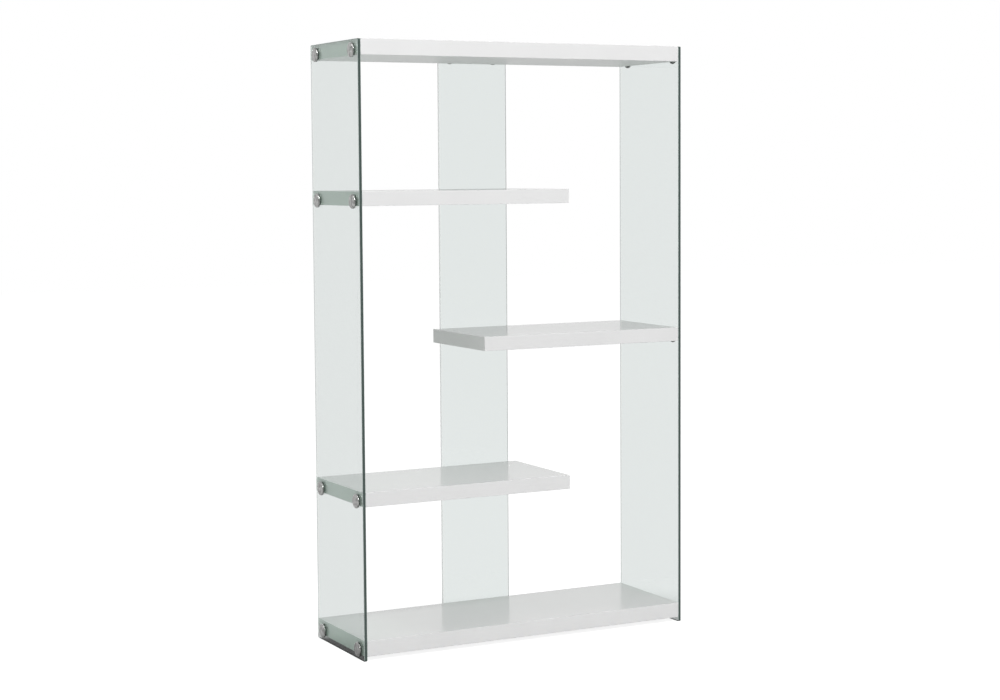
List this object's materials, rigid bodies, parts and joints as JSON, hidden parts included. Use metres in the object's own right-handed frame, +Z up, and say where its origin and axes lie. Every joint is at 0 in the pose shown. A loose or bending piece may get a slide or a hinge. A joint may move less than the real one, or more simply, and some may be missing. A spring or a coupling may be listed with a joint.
{
  "type": "etagere bookcase",
  "caption": "Tall open bookcase: glossy white shelves, full and half width in turn, bolted with bevelled chrome caps between clear glass sides and a narrow clear glass back.",
  "frame": {"origin": "on the floor, at the middle of the outline seen from above", "axes": "+Z up, +Y from the open front to the narrow back glass, +X to the right seen from the front"},
  "size_m": [0.914, 0.305, 1.492],
  "materials": {
    "clear_glass": "clear float glass with polished, faintly green edges",
    "white_gloss": "fibreboard in high-gloss white lacquer",
    "paper_core": "plain brown paper honeycomb",
    "brass": "turned brass",
    "steel": "zinc-plated steel",
    "clear_plastic": "clear moulded plastic",
    "rubber": "black rubber",
    "chrome": "polished chrome"
  },
  "bodies": {
    "root": {"left_side_glass": "clear_glass", "right_side_glass": "clear_glass", "back_glass": "clear_glass", "bottom_shelf_lower_skin": "white_gloss", "bottom_shelf_core": "paper_core", "bottom_shelf_front_rail": "white_gloss", "bottom_shelf_back_rail": "white_gloss", "bottom_shelf_left_rail": "white_gloss", "bottom_shelf_right_rail": "white_gloss", "bottom_shelf_upper_skin": "white_gloss", "lower_left_shelf_lower_skin": "white_gloss", "lower_left_shelf_core": "paper_core", "lower_left_shelf_front_rail": "white_gloss", "lower_left_shelf_back_rail": "white_gloss", "lower_left_shelf_left_rail": "white_gloss", "lower_left_shelf_right_rail": "white_gloss", "lower_left_shelf_upper_skin": "white_gloss", "middle_right_shelf_lower_skin": "white_gloss", "middle_right_shelf_core": "paper_core", "middle_right_shelf_front_rail": "white_gloss", "middle_right_shelf_back_rail": "white_gloss", "middle_right_shelf_left_rail": "white_gloss", "middle_right_shelf_right_rail": "white_gloss", "middle_right_shelf_upper_skin": "white_gloss", "upper_left_shelf_lower_skin": "white_gloss", "upper_left_shelf_core": "paper_core", "upper_left_shelf_front_rail": "white_gloss", "upper_left_shelf_back_rail": "white_gloss", "upper_left_shelf_left_rail": "white_gloss", "upper_left_shelf_right_rail": "white_gloss", "upper_left_shelf_upper_skin": "white_gloss", "top_shelf_lower_skin": "white_gloss", "top_shelf_core": "paper_core", "top_shelf_front_rail": "white_gloss", "top_shelf_back_rail": "white_gloss", "top_shelf_left_rail": "white_gloss", "top_shelf_right_rail": "white_gloss", "top_shelf_upper_skin": "white_gloss", "left_inserts": "brass", "left_studs": "steel", "left_sleeves": "clear_plastic", "left_washers": "rubber", "left_caps": "chrome", "right_inserts": "brass", "right_studs": "steel", "right_sleeves": "clear_plastic", "right_washers": "rubber", "right_caps": "chrome", "back_inserts": "brass", "back_studs": "steel", "back_sleeves": "clear_plastic", "back_washers": "rubber", "back_caps": "chrome"}
  },
  "joints": []
}
